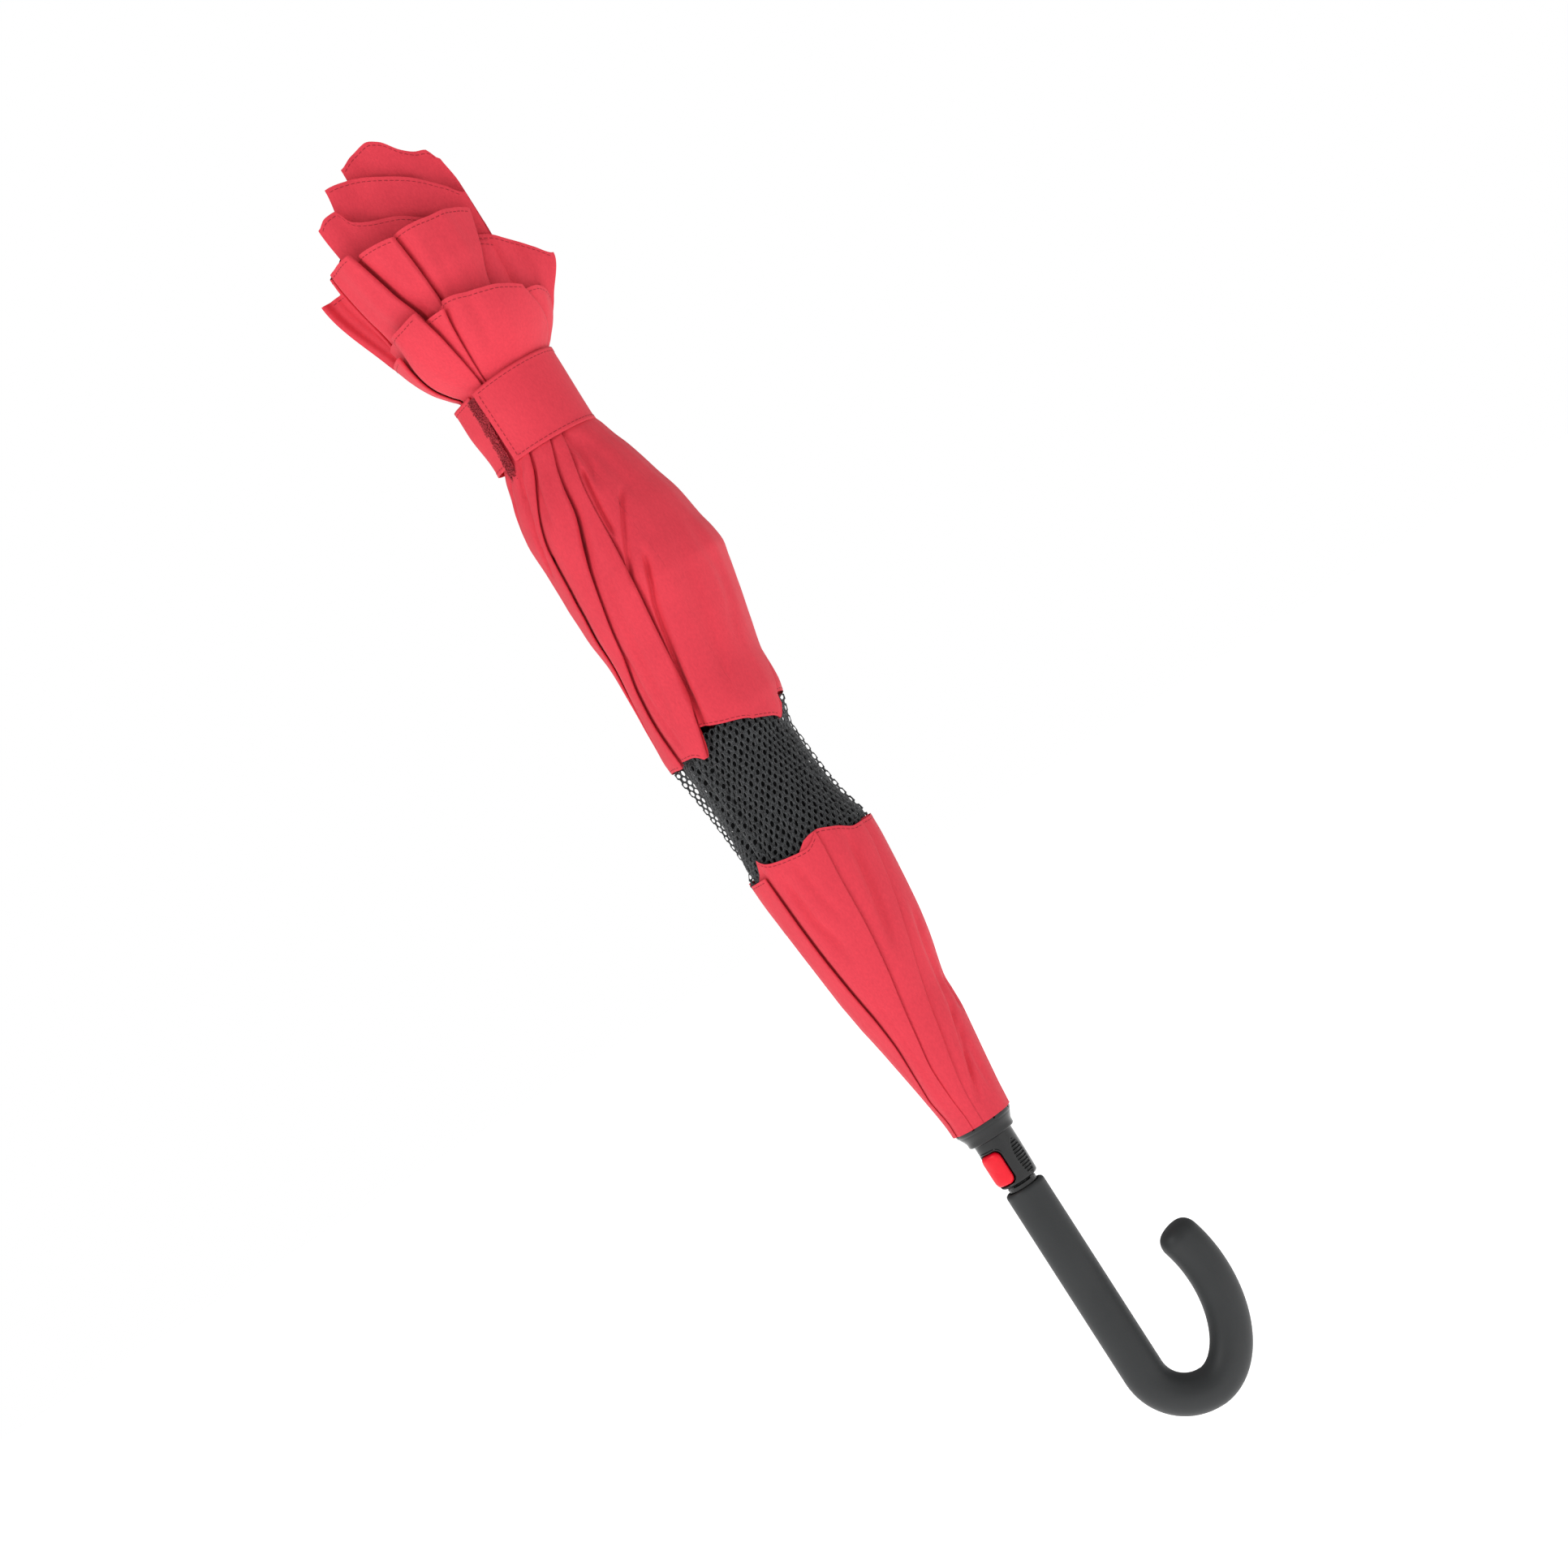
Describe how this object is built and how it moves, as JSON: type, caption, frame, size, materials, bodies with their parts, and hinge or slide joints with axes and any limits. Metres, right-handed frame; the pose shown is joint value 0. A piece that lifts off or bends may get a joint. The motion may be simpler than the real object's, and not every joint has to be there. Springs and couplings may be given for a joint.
{
  "type": "stick umbrella",
  "caption": "Closed inside-out stick umbrella with a crook handle, push-button runner, jointed ribs and two cloth layers held by a strap.",
  "frame": {"origin": "middle of the straight grip, on the shaft's axis", "axes": "+Z along the shaft towards the rib tips, +X towards the crook's hook"},
  "size_m": [0.13, 0.115, 0.836],
  "materials": {
    "grip_rubber": "soft matte black rubber coat",
    "black_plastic": "moulded glossy black plastic",
    "red_plastic": "satin bright red plastic",
    "shaft_paint": "black painted steel tube",
    "rib_steel": "black painted steel channel",
    "fibreglass": "pultruded black fibreglass rod",
    "spring_steel": "bare spring steel",
    "canopy_cloth": "coral red pongee cloth with a fine weave"
  },
  "bodies": {
    "shaft_and_handle": {"handle_grip": "grip_rubber", "shaft_socket": "black_plastic", "shaft_tube": "shaft_paint", "top_notch": "black_plastic", "top_cap": "black_plastic", "drive_spring": "spring_steel"},
    "runner": {"runner_body": "black_plastic", "rib_ring": "black_plastic", "drive_plunger": "spring_steel", "button_spring": "spring_steel"},
    "button": {"push_button": "red_plastic"},
    "strut_1": {"strut_1": "rib_steel"},
    "outer_rib_1": {"outer_rib_1": "fibreglass"},
    "top_link_1": {"top_link_1": "rib_steel"},
    "strut_2": {"strut_2": "rib_steel"},
    "outer_rib_2": {"outer_rib_2": "fibreglass"},
    "top_link_2": {"top_link_2": "rib_steel"},
    "strut_3": {"strut_3": "rib_steel"},
    "outer_rib_3": {"outer_rib_3": "fibreglass"},
    "top_link_3": {"top_link_3": "rib_steel"},
    "strut_4": {"strut_4": "rib_steel"},
    "outer_rib_4": {"outer_rib_4": "fibreglass"},
    "top_link_4": {"top_link_4": "rib_steel"},
    "strut_5": {"strut_5": "rib_steel"},
    "outer_rib_5": {"outer_rib_5": "fibreglass"},
    "top_link_5": {"top_link_5": "rib_steel"},
    "strut_6": {"strut_6": "rib_steel"},
    "outer_rib_6": {"outer_rib_6": "fibreglass"},
    "top_link_6": {"top_link_6": "rib_steel"},
    "strut_7": {"strut_7": "rib_steel"},
    "outer_rib_7": {"outer_rib_7": "fibreglass"},
    "top_link_7": {"top_link_7": "rib_steel"},
    "strut_8": {"strut_8": "rib_steel"},
    "outer_rib_8": {"outer_rib_8": "fibreglass"},
    "top_link_8": {"top_link_8": "rib_steel"},
    "lower_lining_1": {"lower_lining_1": "canopy_cloth"},
    "upper_lining_1": {"upper_lining_1": "canopy_cloth"},
    "rain_panel_1": {"rain_panel_1": "canopy_cloth"},
    "lower_lining_2": {"lower_lining_2": "canopy_cloth"},
    "upper_lining_2": {"upper_lining_2": "canopy_cloth"},
    "rain_panel_2": {"rain_panel_2": "canopy_cloth"},
    "lower_lining_3": {"lower_lining_3": "canopy_cloth"},
    "upper_lining_3": {"upper_lining_3": "canopy_cloth"},
    "rain_panel_3": {"rain_panel_3": "canopy_cloth"},
    "lower_lining_4": {"lower_lining_4": "canopy_cloth"},
    "upper_lining_4": {"upper_lining_4": "canopy_cloth"},
    "rain_panel_4": {"rain_panel_4": "canopy_cloth"},
    "lower_lining_5": {"lower_lining_5": "canopy_cloth"},
    "upper_lining_5": {"upper_lining_5": "canopy_cloth"},
    "rain_panel_5": {"rain_panel_5": "canopy_cloth"},
    "lower_lining_6": {"lower_lining_6": "canopy_cloth"},
    "upper_lining_6": {"upper_lining_6": "canopy_cloth"},
    "rain_panel_6": {"rain_panel_6": "canopy_cloth"},
    "lower_lining_7": {"lower_lining_7": "canopy_cloth"},
    "upper_lining_7": {"upper_lining_7": "canopy_cloth"},
    "rain_panel_7": {"rain_panel_7": "canopy_cloth"},
    "lower_lining_8": {"lower_lining_8": "canopy_cloth"},
    "upper_lining_8": {"upper_lining_8": "canopy_cloth"},
    "rain_panel_8": {"rain_panel_8": "canopy_cloth"},
    "strap": {"closing_strap": "canopy_cloth"}
  },
  "joints": [
    {"name": "runner_slide", "type": "slide", "parent": "shaft_and_handle", "child": "runner", "axis": [0, 0, 1], "range_m": [0, 0.32966], "deforming": ["drive_spring"]},
    {"name": "button_press", "type": "slide", "parent": "runner", "child": "button", "axis": [0.7193, 0.6947, 0], "range_m": [0, 0.002], "stiffness_N_per_m": 500, "springref_m": -0.0005, "deforming": ["button_spring"]},
    {"name": "strut_1_fold", "type": "hinge", "parent": "runner", "child": "strut_1", "pos_m": [0.01201, 0.00498, 0.1], "axis": [-0.3827, 0.9239, 0], "range_deg": [0, 68]},
    {"name": "outer_rib_1_fold", "type": "hinge", "parent": "strut_1", "child": "outer_rib_1", "pos_m": [0.01201, 0.00498, 0.347], "axis": [-0.3827, 0.9239, 0], "range_deg": [0, 52.01]},
    {"name": "top_link_1_fold", "type": "hinge", "parent": "shaft_and_handle", "child": "top_link_1", "pos_m": [0.00693, 0.00287, 0.587], "axis": [0.3827, -0.9239, 0], "range_deg": [0, 75.6]},
    {"name": "strut_2_fold", "type": "hinge", "parent": "runner", "child": "strut_2", "pos_m": [0.00498, 0.01201, 0.1], "axis": [-0.9239, 0.3827, 0], "range_deg": [0, 68]},
    {"name": "outer_rib_2_fold", "type": "hinge", "parent": "strut_2", "child": "outer_rib_2", "pos_m": [0.00498, 0.01201, 0.347], "axis": [-0.9239, 0.3827, 0], "range_deg": [0, 52.01]},
    {"name": "top_link_2_fold", "type": "hinge", "parent": "shaft_and_handle", "child": "top_link_2", "pos_m": [0.00287, 0.00693, 0.587], "axis": [0.9239, -0.3827, 0], "range_deg": [0, 75.6]},
    {"name": "strut_3_fold", "type": "hinge", "parent": "runner", "child": "strut_3", "pos_m": [-0.00498, 0.01201, 0.1], "axis": [-0.9239, -0.3827, 0], "range_deg": [0, 68]},
    {"name": "outer_rib_3_fold", "type": "hinge", "parent": "strut_3", "child": "outer_rib_3", "pos_m": [-0.00498, 0.01201, 0.347], "axis": [-0.9239, -0.3827, 0], "range_deg": [0, 52.01]},
    {"name": "top_link_3_fold", "type": "hinge", "parent": "shaft_and_handle", "child": "top_link_3", "pos_m": [-0.00287, 0.00693, 0.587], "axis": [0.9239, 0.3827, 0], "range_deg": [0, 75.6]},
    {"name": "strut_4_fold", "type": "hinge", "parent": "runner", "child": "strut_4", "pos_m": [-0.01201, 0.00498, 0.1], "axis": [-0.3827, -0.9239, 0], "range_deg": [0, 68]},
    {"name": "outer_rib_4_fold", "type": "hinge", "parent": "strut_4", "child": "outer_rib_4", "pos_m": [-0.01201, 0.00498, 0.347], "axis": [-0.3827, -0.9239, 0], "range_deg": [0, 52.01]},
    {"name": "top_link_4_fold", "type": "hinge", "parent": "shaft_and_handle", "child": "top_link_4", "pos_m": [-0.00693, 0.00287, 0.587], "axis": [0.3827, 0.9239, 0], "range_deg": [0, 75.6]},
    {"name": "strut_5_fold", "type": "hinge", "parent": "runner", "child": "strut_5", "pos_m": [-0.01201, -0.00498, 0.1], "axis": [0.3827, -0.9239, 0], "range_deg": [0, 68]},
    {"name": "outer_rib_5_fold", "type": "hinge", "parent": "strut_5", "child": "outer_rib_5", "pos_m": [-0.01201, -0.00498, 0.347], "axis": [0.3827, -0.9239, 0], "range_deg": [0, 52.01]},
    {"name": "top_link_5_fold", "type": "hinge", "parent": "shaft_and_handle", "child": "top_link_5", "pos_m": [-0.00693, -0.00287, 0.587], "axis": [-0.3827, 0.9239, 0], "range_deg": [0, 75.6]},
    {"name": "strut_6_fold", "type": "hinge", "parent": "runner", "child": "strut_6", "pos_m": [-0.00498, -0.01201, 0.1], "axis": [0.9239, -0.3827, 0], "range_deg": [0, 68]},
    {"name": "outer_rib_6_fold", "type": "hinge", "parent": "strut_6", "child": "outer_rib_6", "pos_m": [-0.00498, -0.01201, 0.347], "axis": [0.9239, -0.3827, 0], "range_deg": [0, 52.01]},
    {"name": "top_link_6_fold", "type": "hinge", "parent": "shaft_and_handle", "child": "top_link_6", "pos_m": [-0.00287, -0.00693, 0.587], "axis": [-0.9239, 0.3827, 0], "range_deg": [0, 75.6]},
    {"name": "strut_7_fold", "type": "hinge", "parent": "runner", "child": "strut_7", "pos_m": [0.00498, -0.01201, 0.1], "axis": [0.9239, 0.3827, 0], "range_deg": [0, 68]},
    {"name": "outer_rib_7_fold", "type": "hinge", "parent": "strut_7", "child": "outer_rib_7", "pos_m": [0.00498, -0.01201, 0.347], "axis": [0.9239, 0.3827, 0], "range_deg": [0, 52.01]},
    {"name": "top_link_7_fold", "type": "hinge", "parent": "shaft_and_handle", "child": "top_link_7", "pos_m": [0.00287, -0.00693, 0.587], "axis": [-0.9239, -0.3827, 0], "range_deg": [0, 75.6]},
    {"name": "strut_8_fold", "type": "hinge", "parent": "runner", "child": "strut_8", "pos_m": [0.01201, -0.00498, 0.1], "axis": [0.3827, 0.9239, 0], "range_deg": [0, 68]},
    {"name": "outer_rib_8_fold", "type": "hinge", "parent": "strut_8", "child": "outer_rib_8", "pos_m": [0.01201, -0.00498, 0.347], "axis": [0.3827, 0.9239, 0], "range_deg": [0, 52.01]},
    {"name": "top_link_8_fold", "type": "hinge", "parent": "shaft_and_handle", "child": "top_link_8", "pos_m": [0.00693, -0.00287, 0.587], "axis": [-0.3827, -0.9239, 0], "range_deg": [0, 75.6]},
    {"name": "lower_lining_1_spread", "type": "hinge", "parent": "strut_1", "child": "lower_lining_1", "pos_m": [0, 0, 0.09123], "axis": [-0.6001, -0.6001, -0.5289], "range_deg": [0, 49.43], "deforming": ["lower_lining_1"]},
    {"name": "upper_lining_1_spread", "type": "hinge", "parent": "outer_rib_1", "child": "upper_lining_1", "pos_m": [0, 0, 0.06004], "axis": [-0.3747, -0.3747, -0.848], "range_deg": [0, 77.42], "deforming": ["upper_lining_1"]},
    {"name": "rain_panel_1_spread", "type": "hinge", "parent": "top_link_1", "child": "rain_panel_1", "pos_m": [0, 0, 0.59282], "axis": [0.5748, 0.5748, -0.5825], "range_deg": [0, 54.26], "deforming": ["rain_panel_1"]},
    {"name": "lower_lining_2_spread", "type": "hinge", "parent": "strut_2", "child": "lower_lining_2", "pos_m": [0, 0, 0.09123], "axis": [0, -0.8487, -0.5289], "range_deg": [0, 49.43], "deforming": ["lower_lining_2"]},
    {"name": "upper_lining_2_spread", "type": "hinge", "parent": "outer_rib_2", "child": "upper_lining_2", "pos_m": [0, 0, 0.06004], "axis": [0, -0.5299, -0.848], "range_deg": [0, 77.42], "deforming": ["upper_lining_2"]},
    {"name": "rain_panel_2_spread", "type": "hinge", "parent": "top_link_2", "child": "rain_panel_2", "pos_m": [0, 0, 0.59282], "axis": [0, 0.8129, -0.5825], "range_deg": [0, 54.26], "deforming": ["rain_panel_2"]},
    {"name": "lower_lining_3_spread", "type": "hinge", "parent": "strut_3", "child": "lower_lining_3", "pos_m": [0, 0, 0.09123], "axis": [0.6001, -0.6001, -0.5289], "range_deg": [0, 49.43], "deforming": ["lower_lining_3"]},
    {"name": "upper_lining_3_spread", "type": "hinge", "parent": "outer_rib_3", "child": "upper_lining_3", "pos_m": [0, 0, 0.06004], "axis": [0.3747, -0.3747, -0.848], "range_deg": [0, 77.42], "deforming": ["upper_lining_3"]},
    {"name": "rain_panel_3_spread", "type": "hinge", "parent": "top_link_3", "child": "rain_panel_3", "pos_m": [0, 0, 0.59282], "axis": [-0.5748, 0.5748, -0.5825], "range_deg": [0, 54.26], "deforming": ["rain_panel_3"]},
    {"name": "lower_lining_4_spread", "type": "hinge", "parent": "strut_4", "child": "lower_lining_4", "pos_m": [0, 0, 0.09123], "axis": [0.8487, 0, -0.5289], "range_deg": [0, 49.43], "deforming": ["lower_lining_4"]},
    {"name": "upper_lining_4_spread", "type": "hinge", "parent": "outer_rib_4", "child": "upper_lining_4", "pos_m": [0, 0, 0.06004], "axis": [0.5299, 0, -0.848], "range_deg": [0, 77.42], "deforming": ["upper_lining_4"]},
    {"name": "rain_panel_4_spread", "type": "hinge", "parent": "top_link_4", "child": "rain_panel_4", "pos_m": [0, 0, 0.59282], "axis": [-0.8129, 0, -0.5825], "range_deg": [0, 54.26], "deforming": ["rain_panel_4"]},
    {"name": "lower_lining_5_spread", "type": "hinge", "parent": "strut_5", "child": "lower_lining_5", "pos_m": [0, 0, 0.09123], "axis": [0.6001, 0.6001, -0.5289], "range_deg": [0, 49.43], "deforming": ["lower_lining_5"]},
    {"name": "upper_lining_5_spread", "type": "hinge", "parent": "outer_rib_5", "child": "upper_lining_5", "pos_m": [0, 0, 0.06004], "axis": [0.3747, 0.3747, -0.848], "range_deg": [0, 77.42], "deforming": ["upper_lining_5"]},
    {"name": "rain_panel_5_spread", "type": "hinge", "parent": "top_link_5", "child": "rain_panel_5", "pos_m": [0, 0, 0.59282], "axis": [-0.5748, -0.5748, -0.5825], "range_deg": [0, 54.26], "deforming": ["rain_panel_5"]},
    {"name": "lower_lining_6_spread", "type": "hinge", "parent": "strut_6", "child": "lower_lining_6", "pos_m": [0, 0, 0.09123], "axis": [0, 0.8487, -0.5289], "range_deg": [0, 49.43], "deforming": ["lower_lining_6"]},
    {"name": "upper_lining_6_spread", "type": "hinge", "parent": "outer_rib_6", "child": "upper_lining_6", "pos_m": [0, 0, 0.06004], "axis": [0, 0.5299, -0.848], "range_deg": [0, 77.42], "deforming": ["upper_lining_6"]},
    {"name": "rain_panel_6_spread", "type": "hinge", "parent": "top_link_6", "child": "rain_panel_6", "pos_m": [0, 0, 0.59282], "axis": [0, -0.8129, -0.5825], "range_deg": [0, 54.26], "deforming": ["rain_panel_6"]},
    {"name": "lower_lining_7_spread", "type": "hinge", "parent": "strut_7", "child": "lower_lining_7", "pos_m": [0, 0, 0.09123], "axis": [-0.6001, 0.6001, -0.5289], "range_deg": [0, 49.43], "deforming": ["lower_lining_7"]},
    {"name": "upper_lining_7_spread", "type": "hinge", "parent": "outer_rib_7", "child": "upper_lining_7", "pos_m": [0, 0, 0.06004], "axis": [-0.3747, 0.3747, -0.848], "range_deg": [0, 77.42], "deforming": ["upper_lining_7"]},
    {"name": "rain_panel_7_spread", "type": "hinge", "parent": "top_link_7", "child": "rain_panel_7", "pos_m": [0, 0, 0.59282], "axis": [0.5748, -0.5748, -0.5825], "range_deg": [0, 54.26], "deforming": ["rain_panel_7"]},
    {"name": "lower_lining_8_spread", "type": "hinge", "parent": "strut_8", "child": "lower_lining_8", "pos_m": [0, 0, 0.09123], "axis": [-0.8487, 0, -0.5289], "range_deg": [0, 49.43], "deforming": ["lower_lining_8"]},
    {"name": "upper_lining_8_spread", "type": "hinge", "parent": "outer_rib_8", "child": "upper_lining_8", "pos_m": [0, 0, 0.06004], "axis": [-0.5299, 0, -0.848], "range_deg": [0, 77.42], "deforming": ["upper_lining_8"]},
    {"name": "rain_panel_8_spread", "type": "hinge", "parent": "top_link_8", "child": "rain_panel_8", "pos_m": [0, 0, 0.59282], "axis": [0.8129, 0, -0.5825], "range_deg": [0, 54.26], "deforming": ["rain_panel_8"]},
    {"name": "strap_release", "type": "hinge", "parent": "outer_rib_4", "child": "strap", "pos_m": [-0.02818, 0.01167, 0.567], "axis": [0, 0, 1], "range_deg": [0, 180], "deforming": ["closing_strap"]}
  ],
  "couplings": [
    {"joint": "strut_1_fold", "follows": "runner_slide", "rad_per_m": 3.6001},
    {"joint": "outer_rib_1_fold", "follows": "runner_slide", "rad_per_m": 2.753},
    {"joint": "top_link_1_fold", "follows": "runner_slide", "rad_per_m": 4.0022},
    {"joint": "strut_2_fold", "follows": "runner_slide", "rad_per_m": 3.6001},
    {"joint": "outer_rib_2_fold", "follows": "runner_slide", "rad_per_m": 2.753},
    {"joint": "top_link_2_fold", "follows": "runner_slide", "rad_per_m": 4.0022},
    {"joint": "strut_3_fold", "follows": "runner_slide", "rad_per_m": 3.6001},
    {"joint": "outer_rib_3_fold", "follows": "runner_slide", "rad_per_m": 2.753},
    {"joint": "top_link_3_fold", "follows": "runner_slide", "rad_per_m": 4.0022},
    {"joint": "strut_4_fold", "follows": "runner_slide", "rad_per_m": 3.6001},
    {"joint": "outer_rib_4_fold", "follows": "runner_slide", "rad_per_m": 2.753},
    {"joint": "top_link_4_fold", "follows": "runner_slide", "rad_per_m": 4.0022},
    {"joint": "strut_5_fold", "follows": "runner_slide", "rad_per_m": 3.6001},
    {"joint": "outer_rib_5_fold", "follows": "runner_slide", "rad_per_m": 2.753},
    {"joint": "top_link_5_fold", "follows": "runner_slide", "rad_per_m": 4.0022},
    {"joint": "strut_6_fold", "follows": "runner_slide", "rad_per_m": 3.6001},
    {"joint": "outer_rib_6_fold", "follows": "runner_slide", "rad_per_m": 2.753},
    {"joint": "top_link_6_fold", "follows": "runner_slide", "rad_per_m": 4.0022},
    {"joint": "strut_7_fold", "follows": "runner_slide", "rad_per_m": 3.6001},
    {"joint": "outer_rib_7_fold", "follows": "runner_slide", "rad_per_m": 2.753},
    {"joint": "top_link_7_fold", "follows": "runner_slide", "rad_per_m": 4.0022},
    {"joint": "strut_8_fold", "follows": "runner_slide", "rad_per_m": 3.6001},
    {"joint": "outer_rib_8_fold", "follows": "runner_slide", "rad_per_m": 2.753},
    {"joint": "top_link_8_fold", "follows": "runner_slide", "rad_per_m": 4.0022},
    {"joint": "lower_lining_1_spread", "follows": "runner_slide", "rad_per_m": 2.6167},
    {"joint": "upper_lining_1_spread", "follows": "runner_slide", "rad_per_m": 4.0987},
    {"joint": "rain_panel_1_spread", "follows": "runner_slide", "rad_per_m": 2.8725},
    {"joint": "lower_lining_2_spread", "follows": "runner_slide", "rad_per_m": 2.6167},
    {"joint": "upper_lining_2_spread", "follows": "runner_slide", "rad_per_m": 4.0987},
    {"joint": "rain_panel_2_spread", "follows": "runner_slide", "rad_per_m": 2.8725},
    {"joint": "lower_lining_3_spread", "follows": "runner_slide", "rad_per_m": 2.6167},
    {"joint": "upper_lining_3_spread", "follows": "runner_slide", "rad_per_m": 4.0987},
    {"joint": "rain_panel_3_spread", "follows": "runner_slide", "rad_per_m": 2.8725},
    {"joint": "lower_lining_4_spread", "follows": "runner_slide", "rad_per_m": 2.6167},
    {"joint": "upper_lining_4_spread", "follows": "runner_slide", "rad_per_m": 4.0987},
    {"joint": "rain_panel_4_spread", "follows": "runner_slide", "rad_per_m": 2.8725},
    {"joint": "lower_lining_5_spread", "follows": "runner_slide", "rad_per_m": 2.6167},
    {"joint": "upper_lining_5_spread", "follows": "runner_slide", "rad_per_m": 4.0987},
    {"joint": "rain_panel_5_spread", "follows": "runner_slide", "rad_per_m": 2.8725},
    {"joint": "lower_lining_6_spread", "follows": "runner_slide", "rad_per_m": 2.6167},
    {"joint": "upper_lining_6_spread", "follows": "runner_slide", "rad_per_m": 4.0987},
    {"joint": "rain_panel_6_spread", "follows": "runner_slide", "rad_per_m": 2.8725},
    {"joint": "lower_lining_7_spread", "follows": "runner_slide", "rad_per_m": 2.6167},
    {"joint": "upper_lining_7_spread", "follows": "runner_slide", "rad_per_m": 4.0987},
    {"joint": "rain_panel_7_spread", "follows": "runner_slide", "rad_per_m": 2.8725},
    {"joint": "lower_lining_8_spread", "follows": "runner_slide", "rad_per_m": 2.6167},
    {"joint": "upper_lining_8_spread", "follows": "runner_slide", "rad_per_m": 4.0987},
    {"joint": "rain_panel_8_spread", "follows": "runner_slide", "rad_per_m": 2.8725},
    {"joint": "strap_release", "follows": "runner_slide", "rad_per_m": 9.5297}
  ]
}
